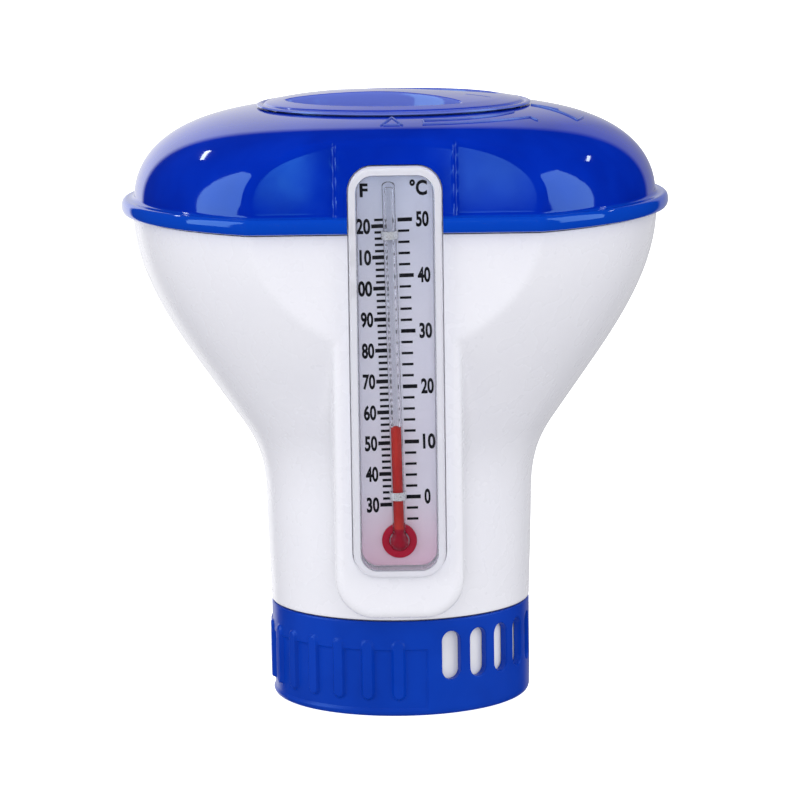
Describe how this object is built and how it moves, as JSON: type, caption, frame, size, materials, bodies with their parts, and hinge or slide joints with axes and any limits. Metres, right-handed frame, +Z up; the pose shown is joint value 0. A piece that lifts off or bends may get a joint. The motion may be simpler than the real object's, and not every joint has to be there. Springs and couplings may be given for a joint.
{
  "type": "floating chlorine dispenser",
  "caption": "Round pool float with a bayonet lid, a tablet chamber through it, a turning slotted dosing ring at the foot and a spirit thermometer on its flat front.",
  "frame": {"origin": "on the vertical axis of the tablet chamber, at the underside of the dosing ring, where the dispenser stands on a shelf", "axes": "+Z up along the chamber axis to the lid, -Y out of the flat front with the thermometer, +X to the right seen from the front"},
  "size_m": [0.185, 0.172, 0.2068],
  "materials": {
    "dome_blue": "high gloss moulded royal blue",
    "lid_blue": "high gloss moulded royal blue",
    "ring_blue": "satin moulded blue",
    "shell_white": "semi-gloss moulded white",
    "tube_white": "plain moulded white",
    "case_white": "plain moulded white",
    "seal_rubber": "soft black elastomer",
    "lens_clear": "polished clear plastic",
    "tube_glass": "clear glass",
    "spirit_red": "dyed red spirit",
    "collar_red": "moulded red",
    "clip_silver": "thin bright metal",
    "card_print": "printed grey card with black numbers"
  },
  "bodies": {
    "housing": {"dome_shell": "dome_blue", "lower_shell": "shell_white", "rim_gasket": "seal_rubber", "tablet_tube": "tube_white", "tube_upper_seal": "seal_rubber", "tube_lower_seal": "seal_rubber", "thermometer_case": "case_white", "thermometer_lens": "lens_clear", "scale_card": "card_print", "glass_tube": "tube_glass", "spirit_column": "spirit_red", "bulb_collar": "collar_red", "tube_clip_upper": "clip_silver", "tube_clip_lower": "clip_silver"},
    "lid_seal_ring": {"lid_seal": "seal_rubber"},
    "lid_cap": {"lid": "lid_blue"},
    "dosing_cup": {"dosing_ring": "ring_blue"}
  },
  "joints": [
    {"name": "lid_lift", "type": "slide", "parent": "housing", "child": "lid_seal_ring", "axis": [0, 0, 1], "range_m": [0, 0.08]},
    {"name": "lid_turn", "type": "hinge", "parent": "lid_seal_ring", "child": "lid_cap", "pos_m": [0, 0, 0.2], "axis": [0, 0, -1], "range_deg": [0, 45]},
    {"name": "dosing_ring_turn", "type": "hinge", "parent": "housing", "child": "dosing_cup", "pos_m": [0, 0, 0.016], "axis": [0, 0, -1], "range_deg": [0, 150]}
  ]
}
